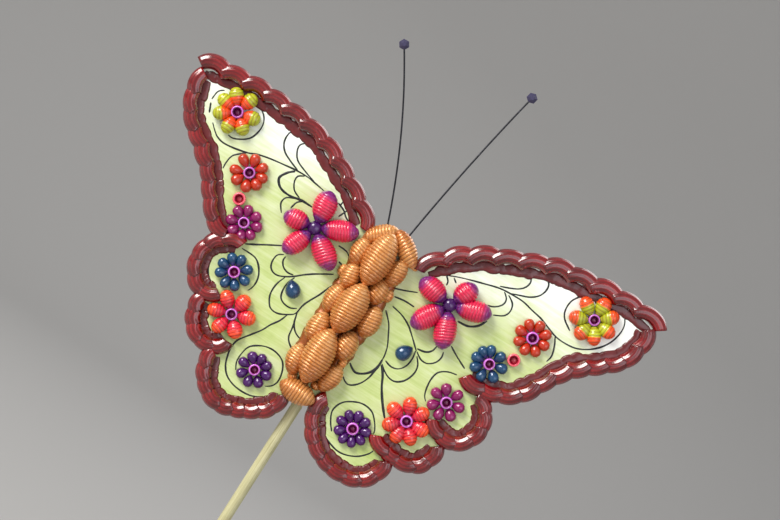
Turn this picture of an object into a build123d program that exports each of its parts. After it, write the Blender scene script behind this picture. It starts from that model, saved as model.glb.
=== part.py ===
from build123d import *
import os
from math import asin, atan2, cos, degrees, hypot, radians, sin

# A handmade butterfly on a stick. Millimetres, +Z up along the stick, the decorated face
# looks along -Y, and +X is to the viewer's right. The origin is the centre of the stick's lower end.

# Stick
STICK_R = 2.5
STICK_LENGTH = 300.0
END_R = 2.2                 # the glued stretch is shaved a little thinner
END_START = 222.0           # height where the thinner stretch begins
FLAT_DEPTH = 0.5            # how much is pared off it where the card lies
GLUE_R = 4.3                # outer radius of the glue run along each side of the stick
GLUE_START, GLUE_END = 232.0, 290.0
GLUE_FRONT_TO = 0.9         # how far round the stick the glue climbs

# Card wings
CARD_T = 2.5
BODY_Z = 265.0              # height of the body's middle, the zero of every wing measure below
CARD_TOP, CARD_FOOT = 43.0, -41.0

# Edging: curved elbow pieces laid end to end along the rim
EDGE_R = 2.9                # radius of an elbow's round back
EDGE_AXIS = 1.0             # height of its centre line over the card
EDGE_GAP = 0.2              # open joint between two elbows
EDGE_OVERRUN = 30.0         # degrees that an elbow runs on before its ends are mitred
EDGE_TAIL = 3.5             # the longest arc it may run on
EDGE_MITRE_REACH = 7.0      # half length of a mitre cut, past the elbow's sides

# Beads and petals
SPINDLE_NOSE = 0.22         # end radius of a spindle bead, as a part of its width
SPINDLE_TURN = 40.0         # degrees of that round end before the bead's side begins
SPINDLE_SWELL = 0.30        # how steeply the side leaves the end, as a part of the width
SPINDLE_SHOULDER = 0.52     # how far the full width holds, as a part of the half length
SIDE_BED = 0.40             # height of a side bead's axis, as a part of its width
CENTRE_HEIGHT = 7.8         # height of the centre row's axis over the card
PETAL_BED = 0.28            # height of a small petal's axis, as a part of its width
BIG_PETAL_BED = 0.36
BIG_PETAL_START = 3.6       # radius at which the big petals start
RING_R, RING_HOLE_R, RING_HEIGHT = 2.65, 1.4, 3.0
PETAL_START = 2.8           # radius at which the small petals start, just outside the ring

# Antennae
WIRE_R = 0.4
WIRE_HEIGHT = 1.2           # over the card's front face
TIP_SIZE = (5.0, 3.8, 2.6)  # across, along the wire, thick
TIP_FACES = 6
TIP_SOCKET = 1.6            # depth to which the wire enters its tip bead

CARD_BACK_Y = -(END_R - FLAT_DEPTH)
CARD_FRONT_Y = CARD_BACK_Y - CARD_T
# On the card's front face: x to the viewer's right, y up from the body's middle, z out to the front.
FRONT = Plane(origin=(0, CARD_FRONT_Y, BODY_Z), x_dir=(1, 0, 0), z_dir=(0, -1, 0))
BIG = 400.0

# Centre lines of the edging: points, number of elbows, how far each elbow bows outwards.
LEFT_EDGES = {
    "top": ([(-17.5, 38.5), (-30, 47.5), (-40, 52.8), (-50, 57.6), (-60, 60.6), (-81, 62.6),
             (-99, 62.2), (-114.8, 60.4)], 10, 1.6),
    "outer": ([(-112.2, 57.0), (-111.2, 49), (-107.5, 40.5), (-100, 34.3), (-92, 28.6), (-85.5, 21.5),
               (-79, 12.5), (-73, 6.2), (-67.5, 3.6)], 9, 0.9),
    "lobe_1": ([(-59, 2.6), (-65.5, 0.4), (-70, -5), (-70.6, -12.5), (-67.5, -19), (-62.5, -22.2),
                (-56, -20.5)], 6, 0.7),
    "lobe_2": ([(-60.2, -26), (-59.3, -31), (-57, -36.2), (-52, -40.3), (-46.5, -40.4),
                (-41.5, -36.5)], 5, 0.7),
    "lobe_3": ([(-43.6, -43.6), (-42.3, -50), (-38.5, -56.2), (-31.5, -59.9), (-24, -58.9),
                (-16.5, -55.4), (-10.2, -50.4), (-7.8, -43.5)], 9, 0.7),
}
RIGHT_EDGES = {
    "top": ([(14.8, 36.5), (24, 46.3), (34, 53.6), (46, 59.2), (57, 64.2), (68, 67.6), (82, 69.0),
             (98, 70.8), (115.2, 69.8)], 10, 1.6),
    "outer": ([(112.5, 66.4), (112.0, 58.5), (109.8, 50.5), (102.5, 43.5), (93.5, 37), (87.5, 28.5),
               (82.5, 19), (76.5, 11.4), (67, 7.6), (56.5, 7.0)], 11, 0.9),
    "lobe_1": ([(65.5, 1.4), (70.2, -1.8), (72.7, -7.5), (71.6, -14), (68, -19), (61.5, -20.2),
                (54.5, -16.8)], 6, 0.7),
    "lobe_2": ([(61.6, -26.2), (60.6, -32.5), (56.4, -37.8), (50.5, -38.9), (43.5, -38.2),
                (37.5, -36.2)], 5, 0.7),
    "lobe_3": ([(45.6, -44), (44.2, -50.4), (39.5, -55.6), (32, -57.6), (23.5, -56.6), (16.5, -52.4),
                (11.2, -46.6), (8.6, -40.4), (9.2, -34.8)], 9, 0.7),
}
# Where each panel's rim leaves the edging: the first lobe point it uses, its foot and its head.
LEFT_SIDE = {"lobe_1_from": 1, "foot": [(-5, CARD_FOOT)], "head": [(-5, CARD_TOP), (-11.5, 39)]}
RIGHT_SIDE = {"lobe_1_from": 0, "foot": [(5, -37)], "head": [(4, CARD_TOP), (10.5, 36.5)]}

# Small flowers: centre, petal tip radius, petal width, petal directions in degrees.
LEFT_FLOWERS = {
    "lime": ((-91.1, 51.3), 10.5, 5.7, (9, 73, 126, 170, 216, 269, 320)),
    "orange": ((-72.5, 31.6), 8.7, 3.9, (97, 51, 10, -27, -70, -119, -160, 145)),
    "magenta": ((-62.4, 11.8), 8.2, 3.7, (105, 60, 15, -30, -72, -118, -163, 150)),
    "blue": ((-54.7, -8.7), 8.3, 3.7, (90, 41, -7, -55, -98, -146, 174, 130)),
    "crimson": ((-45.6, -24.9), 10.8, 5.6, (77, 19, -46, -105, -163, 138)),
    "violet": ((-24.1, -40.2), 8.0, 3.7, (88, 50, 8, -40, -86, -135, 176, 130)),
}
RIGHT_FLOWERS = {
    "lime": ((89.9, 58.3), 11.0, 5.6, (89, 40, -8, -58, -103, -156, 148)),
    "orange": ((71.3, 37.2), 8.5, 3.8, (90, 45, 0, -45, -90, -135, 180, 135)),
    "blue": ((61.3, 17.2), 8.5, 3.8, (112, 63, 14, -38, -90, -137, -178, 146)),
    "magenta": ((54.6, -7.1), 8.5, 3.9, (167, 121, 65, 12, -39, -90, -140)),
    "crimson": ((44.3, -23.3), 10.8, 5.4, (110, 58, 3, -45, -91, -138, 168)),
    "violet": ((26.2, -38.7), 8.4, 3.5, (97, 137, 177, -142, -103, -63, -24, 16, 57)),
}
# Big flowers: centre, then each petal's tip and width.
LEFT_BIG = ((-35.1, 26.6), (((-37.3, 43.9), 10.6), ((-17.6, 35.0), 9.4), ((-19.2, 14.8), 10.0),
                            ((-41.0, 10.4), 9.0), ((-49.8, 24.8), 8.8)))
RIGHT_BIG = ((32.8, 29.8), (((16.2, 32.9), 10.0), ((38.2, 43.3), 9.4), ((50.7, 36.0), 9.4),
                            ((40.5, 11.8), 9.8), ((23.2, 13.3), 9.6)))
BIG_CENTRE_R = 3.1
BIG_CENTRE_HEIGHT = 3.2
LOOSE_RINGS = {"left": (-70.0, 19.6), "right": (69.6, 24.6)}
LOOSE_RING_R, LOOSE_RING_HOLE_R = 2.9, 1.7
DROPS = {"left": ((-26.1, -4.2), 133.0), "right": ((25.4, -1.9), 62.0)}   # centre, direction of the point
DROP_LENGTH, DROP_WIDTH = 8.2, 6.0

# Body beads: centre, length, width, direction of the bead's axis in degrees from +X.
CENTRE_BEADS = {"upper": ((-4.0, 30.0), 25.0, 13.0, 91), "middle": ((-3.2, 5.4), 24.0, 13.8, 91),
                "lower": ((-3.8, -19.2), 25.6, 13.6, 93)}
LEFT_BEADS = (((-12.6, 28.8), 12.8, 8.6, 86), ((-10.6, 17.4), 12.0, 8.2, 97),
              ((-11.4, 5.2), 13.2, 8.6, 88), ((-10.8, -9.0), 14.0, 9.2, 92),
              ((-11.2, -26.0), 13.4, 8.8, 96))
RIGHT_BEADS = (((5.6, 29.0), 13.2, 8.4, 92), ((3.4, 17.8), 11.4, 8.4, 84), ((7.4, 4.8), 14.6, 9.2, 95),
               ((4.4, -9.4), 13.2, 9.4, 88), ((6.0, -25.2), 13.6, 8.4, 84))
HEAD_BEADS = {"left": ((-9.3, 39.6), 15.4, 7.4, 44), "right": ((3.6, 40.2), 17.4, 7.8, -35)}
TAIL_BEAD = ((-3.0, -38.0), 17.4, 9.8, 0)
GAP_BEADS = (((-14.9, 17.6), 6.0, 4.4, 90), ((8.0, 18.6), 6.4, 4.8, 90), ((-8.6, -33.4), 4.6, 4.0, 30),
             ((6.8, -17.0), 5.0, 4.2, 80), ((2.4, -31.6), 4.8, 4.0, 0), ((11.0, 36.2), 4.8, 4.0, -60))

# Antennae: root pivot, a point half way along the bow, and the wire's end, on the card's front.
ANTENNAE = {"left": ((-8.92, 44.89), (-24.2, 79.4), (-45.2, 115.4)),
            "right": ((1.66, 45.88), (7.3, 85.6), (14.6, 125.6))}


def on_card(shape):
    """Move a shape from the card's own plane to its place on the object."""
    return FRONT * shape


def above_card(shape):
    """The part of a shape that stands proud of the card's face."""
    return largest(shape & Pos(0, 0, BIG / 2) * Box(BIG, BIG, BIG))


def largest(shape):
    return max(shape.solids(), key=lambda solid: solid.volume)


def boxes_meet(a, b):
    return (a.min.X < b.max.X and b.min.X < a.max.X and a.min.Y < b.max.Y and b.min.Y < a.max.Y
            and a.min.Z < b.max.Z and b.min.Z < a.max.Z)


def bedded(piece, laid):
    """Seat a piece on the pieces laid before it, so that they meet face to face."""
    box = piece.bounding_box(optimal=False)
    for other, other_box in laid:
        if boxes_meet(box, other_box):
            piece = largest(piece - other)
    return piece


def lay(pieces, laid):
    """Bed pieces one after another on all that is laid already, and add them to it."""
    seated = []
    for piece in pieces:
        piece = bedded(piece, laid)
        laid.append((piece, piece.bounding_box(optimal=False)))
        seated.append(piece)
    return seated


def spindle(length, width):
    """A bead like a spindle along X, full in the middle and round at both ends."""
    x, r, nose = length / 2, width / 2, SPINDLE_NOSE * width
    turn = radians(SPINDLE_TURN)
    mid = (x - nose + nose * cos(turn / 2), nose * sin(turn / 2))
    touch = (x - nose + nose * cos(turn), nose * sin(turn))
    lead = (touch[0] - SPINDLE_SWELL * width * sin(turn), touch[1] + SPINDLE_SWELL * width * cos(turn))
    shoulder = SPINDLE_SHOULDER * x
    outline = [
        ThreePointArc((-x, 0), (-mid[0], mid[1]), (-touch[0], touch[1])),
        Bezier((-touch[0], touch[1]), (-lead[0], lead[1]), (-shoulder, r), (0, r)),
        Bezier((0, r), (shoulder, r), lead, touch),
        ThreePointArc(touch, mid, (x, 0)),
        Line((x, 0), (-x, 0)),
    ]
    return revolve(make_face(Curve() + outline), Axis.X)


def grain(length, width):
    """A drop-shaped grain from its point at x = 0 to its round end at x = length."""
    ball = width / 2
    ball_x = length - ball
    slope = asin(ball / ball_x)
    touch = (ball_x - ball * sin(slope), ball * cos(slope))
    lead = radians(90 + degrees(slope)) / 2
    outline = [
        Line((0, 0), touch),
        ThreePointArc(touch, (ball_x + ball * cos(lead), ball * sin(lead)), (length, 0)),
        Line((length, 0), (0, 0)),
    ]
    return revolve(make_face(Curve() + outline), Axis.X)


def laid_bead(bead, height):
    """A spindle bead laid at its centre and direction, with its axis at a height over the card."""
    (x, y), length, width, direction = bead
    return above_card(Pos(x, y, height) * Rot(0, 0, direction) * spindle(length, width))


def side_bead(bead):
    return laid_bead(bead, SIDE_BED * bead[2])


def tube(centre, outer_r, hole_r, height):
    """A short tube standing on the card."""
    ring = Circle(outer_r) - Circle(hole_r)
    return extrude(Pos(centre[0], centre[1], 0) * ring, height)


def elbow(start, end, bow, left_of_travel, mitre_start, mitre_end):
    """A half-round arc of edging between two joints, mitred along the joint directions."""
    chord = hypot(end[0] - start[0], end[1] - start[1])
    along = ((end[0] - start[0]) / chord, (end[1] - start[1]) / chord)
    out = (-along[1] * left_of_travel, along[0] * left_of_travel)
    bend_r = (chord**2 / 4 + bow**2) / (2 * bow)
    half_angle = degrees(asin(chord / 2 / bend_r)) + min(EDGE_OVERRUN, degrees(EDGE_TAIL / bend_r))
    centre = ((start[0] + end[0]) / 2 - out[0] * (bend_r - bow),
              (start[1] + end[1]) / 2 - out[1] * (bend_r - bow))
    section = Pos(0, EDGE_AXIS) * Circle(EDGE_R) & Pos(0, BIG / 2) * Rectangle(BIG, BIG)
    arc = revolve(Plane.XZ * Pos(bend_r, 0) * section, Axis.Z, 2 * half_angle)
    arc = Pos(*centre, 0) * Rot(0, 0, degrees(atan2(out[1], out[0])) - half_angle) * arc
    reach, gap = EDGE_MITRE_REACH, EDGE_GAP / 2
    a = (start[0] + along[0] * gap, start[1] + along[1] * gap)
    b = (end[0] - along[0] * gap, end[1] - along[1] * gap)
    corners = [(a[0] + reach * mitre_start[0], a[1] + reach * mitre_start[1]),
               (b[0] + reach * mitre_end[0], b[1] + reach * mitre_end[1]),
               (b[0] - reach * mitre_end[0], b[1] - reach * mitre_end[1]),
               (a[0] - reach * mitre_start[0], a[1] - reach * mitre_start[1])]
    wedge = extrude(make_face(Polyline(*corners, close=True)), BIG / 4)
    return largest(arc & wedge)


def edging(points, count, bow, left_of_travel):
    """A run of elbows along a smooth line, with mitred joints."""
    line = Spline(*points)
    joints = [line.position_at(i / count) for i in range(count + 1)]
    normals = []
    for i in range(count + 1):
        before, after = joints[max(i - 1, 0)], joints[min(i + 1, count)]
        span = hypot(after.X - before.X, after.Y - before.Y)
        normals.append((-(after.Y - before.Y) / span, (after.X - before.X) / span))
    places = [(joint.X, joint.Y) for joint in joints]
    return [elbow(places[i], places[i + 1], bow, left_of_travel, normals[i], normals[i + 1])
            for i in range(count)]


def wing_panel(edges, side):
    """A card wing: its rim follows the centre lines of its edging, and it meets the other on X = 0."""
    runs = [edges[name][0] for name in ("top", "outer", "lobe_1", "lobe_2", "lobe_3")]
    runs[2] = runs[2][side["lobe_1_from"]:-1]
    runs[3] = runs[3][:-1]
    outline = []
    last = None
    for run in runs:
        if last is not None and last != run[0]:
            outline.append(Line(last, run[0]))
        outline.append(Spline(*run))
        last = run[-1]
    outline.append(Polyline(last, *side["foot"], (0, CARD_FOOT), (0, CARD_TOP), *side["head"], runs[0][0]))
    return extrude(make_face(Curve() + outline), -CARD_T)


def small_flower(flower):
    """The petals of one small flower, each a grain with its point at the ring."""
    (x, y), tip_r, width, directions = flower
    petal = above_card(Pos(PETAL_START, 0, PETAL_BED * width) * grain(tip_r - PETAL_START, width))
    return [Pos(x, y, 0) * Rot(0, 0, direction) * petal for direction in directions]


def big_flower(flower):
    """The five spindle petals of a big flower."""
    (x, y), petals_at = flower
    petals = []
    for (tip_x, tip_y), width in petals_at:
        reach = hypot(tip_x - x, tip_y - y)
        middle = (reach + BIG_PETAL_START) / 2 / reach
        place = (x + (tip_x - x) * middle, y + (tip_y - y) * middle)
        direction = degrees(atan2(tip_y - y, tip_x - x))
        bead = (place, reach - BIG_PETAL_START, width, direction)
        petals.append(laid_bead(bead, BIG_PETAL_BED * width))
    return petals


def centre_bead(centre):
    """The round bead in the middle of a big flower."""
    return above_card(Pos(centre[0], centre[1], BIG_CENTRE_HEIGHT) * Sphere(BIG_CENTRE_R))


def drop(place):
    (x, y), direction = place
    laid = Pos(x, y, PETAL_BED * DROP_WIDTH) * Rot(0, 0, direction) * Pos(DROP_LENGTH / 2, 0, 0)
    return above_card(laid * Rot(0, 0, 180) * grain(DROP_LENGTH, DROP_WIDTH))


def stick():
    """The round stick. Its glued end is shaved thinner, with a flat for the back of the card."""
    on_foot = (Align.CENTER, Align.CENTER, Align.MIN)
    end = Pos(0, 0, END_START) * Cylinder(END_R, STICK_LENGTH - END_START, align=on_foot)
    end -= Pos(0, CARD_BACK_Y - BIG / 2, 0) * Box(BIG, BIG, 2 * BIG)
    return Cylinder(STICK_R, END_START, align=on_foot) + end


def stick_glue():
    """The two runs of glue that hold the stick to the card."""
    on_foot = (Align.CENTER, Align.CENTER, Align.MIN)
    run = Cylinder(GLUE_R, GLUE_END - GLUE_START, align=on_foot)
    run -= Cylinder(END_R, GLUE_END - GLUE_START, align=on_foot)
    depth = GLUE_FRONT_TO - CARD_BACK_Y
    run &= Pos(0, CARD_BACK_Y + depth / 2, 0) * Box(BIG, depth, BIG)
    return list((Pos(0, 0, GLUE_START) * run).solids())


def antenna(points):
    """A bowed wire with a round root end, and the bead on its tip."""
    root, middle, end = [(x, y, WIRE_HEIGHT) for x, y in points]
    path = ThreePointArc(root, middle, end)
    start_plane = Plane(origin=root, z_dir=path.tangent_at(0))
    wire = sweep(start_plane * Circle(WIRE_R), path=path) + Pos(*root) * Sphere(WIRE_R)
    heading = path.tangent_at(1)
    across, along, thick = TIP_SIZE
    centre_x = end[0] + heading.X * (along / 2 - TIP_SOCKET)
    centre_y = end[1] + heading.Y * (along / 2 - TIP_SOCKET)
    bead = loft([Plane.XY * RegularPolygon(across / 2, TIP_FACES),
                 Pos(0, 0, thick / 2) * RegularPolygon(across / 5, TIP_FACES)])
    bead += mirror(bead, Plane.XY)
    bead = Pos(centre_x, centre_y, WIRE_HEIGHT) * Rot(0, 0, degrees(atan2(heading.Y, heading.X))) * bead
    bead -= wire
    return largest(wire), largest(bead)


def wing(hand, edges, side, flowers, big, laid):
    """One wing: its panel, and all that is glued to its face, by node name."""
    outwards = 1 if hand == "right" else -1     # the side of the rim's own direction that faces out
    nodes = {"wing_panel": [wing_panel(edges, side)]}
    for name, (points, count, bow) in edges.items():
        nodes[f"{name}_edging"] = lay(edging(points, count, bow, outwards), laid)
    for name, flower in flowers.items():
        nodes[f"{name}_flower"] = lay(small_flower(flower), laid)
    nodes["flower_rings"] = lay([tube(flower[0], RING_R, RING_HOLE_R, RING_HEIGHT)
                                 for flower in flowers.values()], laid)
    nodes["big_flower_centre"] = lay([centre_bead(big[0])], laid)
    nodes["big_flower"] = lay(big_flower(big), laid)
    nodes["loose_ring"] = lay([tube(LOOSE_RINGS[hand], LOOSE_RING_R, LOOSE_RING_HOLE_R, RING_HEIGHT)], laid)
    nodes["drop"] = lay([drop(DROPS[hand])], laid)
    return {f"{hand}_{name}": solids for name, solids in nodes.items()}


def body(laid):
    """The beads of the body: the side rows, the head and the tail first, then the centre row on them."""
    nodes = {}
    for hand, beads in (("left", LEFT_BEADS), ("right", RIGHT_BEADS)):
        for i, bead in enumerate(beads, 1):
            nodes[f"{hand}_bead_{i}"] = lay([side_bead(bead)], laid)
    for hand, bead in HEAD_BEADS.items():
        nodes[f"{hand}_head_bead"] = lay([side_bead(bead)], laid)
    nodes["tail_bead"] = lay([side_bead(TAIL_BEAD)], laid)
    nodes["gap_beads"] = lay([side_bead(bead) for bead in GAP_BEADS], laid)
    for name, bead in CENTRE_BEADS.items():
        nodes[f"{name}_centre_bead"] = lay([laid_bead(bead, CENTRE_HEIGHT)], laid)
    return nodes


def save(name, solids):
    shape = solids[0] if len(solids) == 1 else Compound(children=solids)
    export_step(shape, f"parts/{name}.step")


def main():
    os.makedirs("parts", exist_ok=True)
    laid = []
    nodes = wing("left", LEFT_EDGES, LEFT_SIDE, LEFT_FLOWERS, LEFT_BIG, laid)
    nodes.update(wing("right", RIGHT_EDGES, RIGHT_SIDE, RIGHT_FLOWERS, RIGHT_BIG, laid))
    nodes.update(body(laid))
    for hand, points in ANTENNAE.items():
        wire, tip = antenna(points)
        nodes[f"{hand}_antenna_wire"], nodes[f"{hand}_antenna_tip"] = [wire], [tip]
    nodes = {name: [on_card(solid) for solid in solids] for name, solids in nodes.items()}
    nodes["stick"], nodes["stick_glue"] = [largest(stick())], stick_glue()
    for name, solids in nodes.items():
        save(name, solids)


if __name__ == "__main__":
    main()
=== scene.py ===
import math
import random
import bmesh
import bpy
from mathutils import Matrix, Vector


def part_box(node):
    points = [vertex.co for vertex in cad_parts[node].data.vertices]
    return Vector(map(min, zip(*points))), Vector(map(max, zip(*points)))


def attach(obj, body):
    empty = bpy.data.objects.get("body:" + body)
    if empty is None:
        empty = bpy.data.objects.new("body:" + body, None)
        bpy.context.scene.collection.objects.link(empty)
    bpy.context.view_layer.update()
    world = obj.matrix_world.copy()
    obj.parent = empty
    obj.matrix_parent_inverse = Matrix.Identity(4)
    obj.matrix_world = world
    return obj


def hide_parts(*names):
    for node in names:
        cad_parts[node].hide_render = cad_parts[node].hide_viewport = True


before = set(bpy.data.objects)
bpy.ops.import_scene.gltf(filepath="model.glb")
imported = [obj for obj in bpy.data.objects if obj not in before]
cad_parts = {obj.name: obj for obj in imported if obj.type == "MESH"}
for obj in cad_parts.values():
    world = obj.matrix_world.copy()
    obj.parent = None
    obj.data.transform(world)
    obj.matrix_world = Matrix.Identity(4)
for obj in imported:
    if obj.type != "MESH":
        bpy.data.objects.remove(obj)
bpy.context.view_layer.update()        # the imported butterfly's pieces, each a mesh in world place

mm = 0.001
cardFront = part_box("left_wing_panel")[0].y          # the painted face looks along -Y
stickAboveBody = 35                                 # mm the stick runs on above the body's middle
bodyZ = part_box("stick")[1].z - stickAboveBody * mm  # zero of the wing measures
front = Vector((0, -1, 0))
print("frame loaded")


def onCard(x, z, proud=0.0):
    return Vector((x * mm, cardFront - proud * mm, bodyZ + z * mm))


def hexColour(text):
    parts = [int(text[i:i + 2], 16) / 255 for i in (1, 3, 5)]
    return [p / 12.92 if p <= 0.04045 else ((p + 0.055) / 1.055) ** 2.4 for p in parts] + [1.0]


def addNode(tree, kind, settings=None, inputs=None):
    node = tree.nodes.new(kind)
    for key, value in (settings or {}).items():
        setattr(node, key, value)
    for key, value in (inputs or {}).items():
        if isinstance(value, bpy.types.NodeSocket):
            tree.links.new(value, node.inputs[key])
        else:
            node.inputs[key].default_value = value
    return node


# ---- camera, light and floor
view = {"distance": 0.80, "lens": 84.0, "roll": 32.5, "aim": (0.2, 32.5)}
roll = math.radians(view["roll"])
camera = bpy.data.objects.new("camera", bpy.data.cameras.new("camera"))
bpy.context.collection.objects.link(camera)
camera.data.lens = view["lens"]
camera.data.clip_start = 0.01
axes = Matrix(((math.cos(roll), 0, math.sin(roll)), (-math.sin(roll), 0, math.cos(roll)), (0, -1, 0)))
camera.matrix_world = axes.transposed().to_4x4()
camera.location = onCard(*view["aim"]) + front * view["distance"]
bpy.context.scene.camera = camera

lights = {
    # name: place, size in metres, watts, colour
    "window": ((-1.15, -1.0, 1.05), 0.75, 34.0, "#FFFDF8"),
    "room": ((0.9, -1.7, 0.5), 1.6, 14.0, "#F4F6FF"),
    "back": ((0.5, 1.0, 1.5), 1.2, 12.0, "#FFFFFF"),
}
for name, (place, size, watts, colour) in lights.items():
    lamp = bpy.data.lights.new(name, "AREA")
    lamp.size, lamp.energy, lamp.color = size, watts, hexColour(colour)[:3]
    light = bpy.data.objects.new(name, lamp)
    bpy.context.collection.objects.link(light)
    light.location = place
    light.rotation_mode = "QUATERNION"
    light.rotation_quaternion = (onCard(0, 0) - Vector(place)).to_track_quat("-Z", "Y")
world = bpy.data.worlds.new("room")
bpy.context.scene.world = world
world.use_nodes = True
sky = world.node_tree.nodes["Background"].inputs
sky["Color"].default_value = hexColour("#E4E6E8")
sky["Strength"].default_value = 0.62
bpy.context.scene.view_settings.view_transform = "Standard"

floor = {"front": -2.6, "coveFrom": 1.5, "coveRadius": 0.8, "top": 2.6, "half": 3.5, "steps": 16}
profile = [(floor["front"], 0.0)]
for i in range(floor["steps"] + 1):
    turn = math.pi / 2 * i / floor["steps"]
    profile.append((floor["coveFrom"] + floor["coveRadius"] * math.sin(turn),
                    floor["coveRadius"] * (1 - math.cos(turn))))
profile.append((floor["coveFrom"] + floor["coveRadius"], floor["top"]))
coveMesh = bpy.data.meshes.new("floor")
coveMesh.from_pydata([(side * floor["half"], y, z) for y, z in profile for side in (-1, 1)], [],
                     [(2 * i, 2 * i + 1, 2 * i + 3, 2 * i + 2) for i in range(len(profile) - 1)])
coveMesh.polygons.foreach_set("use_smooth", [True] * len(coveMesh.polygons))
cove = bpy.data.objects.new("floor", coveMesh)
bpy.context.collection.objects.link(cove)
wallPaint = bpy.data.materials.new("mattWallPaint")     # emulsion, no gloss
wallPaint.use_nodes = True
wallShader = wallPaint.node_tree.nodes["Principled BSDF"]
wallShader.inputs["Roughness"].default_value = 0.9
wallShader.inputs["Base Color"].default_value = hexColour("#AAA8A6")
coveMesh.materials.append(wallPaint)
print("camera, light and floor")


# ---- finishes
def newMaterial(name):
    material = bpy.data.materials.new(name)
    material.use_nodes = True
    return material, material.node_tree, material.node_tree.nodes["Principled BSDF"]


def setRamp(node, stops):
    ramp = node.color_ramp
    while len(ramp.elements) < len(stops):
        ramp.elements.new(0.5)
    for element, (place, colour) in zip(ramp.elements, stops):
        element.position, element.color = place, hexColour(colour)


def craftPaint(name, look):
    # brushed craft paint under varnish: painted shade darkens the grooves, and a patchy painted highlight,
    # partly wear, lightens the crests
    material, tree, shader = newMaterial(name)
    coords = addNode(tree, "ShaderNodeTexCoord").outputs["Object"]
    along, ridge, tone = (addNode(tree, "ShaderNodeAttribute", {"attribute_name": part}).outputs["Fac"]
                          for part in ("along", "ridge", "tone"))
    patchy = addNode(tree, "ShaderNodeTexNoise", {}, {
        "Vector": coords, "Scale": 1 / (look.get("patch", 2.2) * mm), "Detail": 3.0, "Roughness": 0.6})
    ragged = addNode(tree, "ShaderNodeMath", {"operation": "MULTIPLY_ADD"}, {
        0: patchy.outputs["Fac"], 1: look.get("ragged", 0.3), 2: along})
    edge = addNode(tree, "ShaderNodeMath", {"operation": "SUBTRACT"}, {
        0: ragged.outputs[0], 1: look.get("ragged", 0.3) / 2})
    colour = addNode(tree, "ShaderNodeValToRGB", {}, {"Fac": edge.outputs[0]})
    setRamp(colour, look["stops"])
    value = addNode(tree, "ShaderNodeMapRange", {}, {
        "Value": tone, "To Min": 1 - look.get("spread", 0.14), "To Max": 1 + look.get("spread", 0.14)})
    toned = addNode(tree, "ShaderNodeHueSaturation", {}, {
        "Color": colour.outputs["Color"], "Value": value.outputs["Result"]})
    thin = addNode(tree, "ShaderNodeTexNoise", {}, {
        "Vector": coords, "Scale": 1 / (look.get("fleck", 0.9) * mm), "Detail": 4.0, "Roughness": 0.65})
    # painted highlight, patchy like wear: noise on the rib crests mixes in the light crest colour
    crest = addNode(tree, "ShaderNodeMapRange", {}, {
        "Value": thin.outputs["Fac"], "From Min": 0.48, "From Max": 0.72,
        "To Min": 0.0, "To Max": look.get("crestHighlightAndWear", 0.25)})
    crestHighlightMask = addNode(tree, "ShaderNodeMath", {"operation": "MULTIPLY"}, {
        0: crest.outputs["Result"], 1: ridge})
    crestHighlightAndWear = addNode(tree, "ShaderNodeMix", {"data_type": "RGBA"}, {
        0: crestHighlightMask.outputs[0], 6: toned.outputs["Color"], 7: hexColour(look["crest"])})
    # painted shade: the grooves are mixed toward the groove colour, the crests keep the paint's own colour
    grooveShadeMask = addNode(tree, "ShaderNodeMapRange", {}, {
        "Value": ridge, "From Min": 0.0, "From Max": 0.8,
        "To Min": look.get("grooveShade", 0.75), "To Max": 0.0})
    grooveShade = addNode(tree, "ShaderNodeMix", {"data_type": "RGBA"}, {
        0: grooveShadeMask.outputs["Result"], 6: crestHighlightAndWear.outputs[2], 7: hexColour(look["groove"])})
    gloss = addNode(tree, "ShaderNodeMapRange", {}, {
        "Value": patchy.outputs["Fac"], "From Min": 0.3, "From Max": 0.7,
        "To Min": look["rough"] - 0.07, "To Max": look["rough"] + 0.09})
    bump = addNode(tree, "ShaderNodeBump", {}, {
        "Height": thin.outputs["Fac"], "Strength": look.get("bump", 0.35), "Distance": 0.12 * mm})
    for socket, source in (("Base Color", grooveShade.outputs[2]), ("Roughness", gloss.outputs["Result"]),
                           ("Normal", bump.outputs["Normal"])):
        tree.links.new(source, shader.inputs[socket])
    shader.inputs["Metallic"].default_value = look.get("metallic", 0.0)
    shader.inputs["Coat Weight"].default_value = look.get("coat", 0.5)
    shader.inputs["Coat Roughness"].default_value = look.get("coatRough", 0.12)
    shader.inputs["Specular IOR Level"].default_value = look.get("specular", 0.5)
    return material


# in each paint, crest is the painted highlight (partly wear) on rib crests and groove the painted shade in
# the grooves
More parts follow.
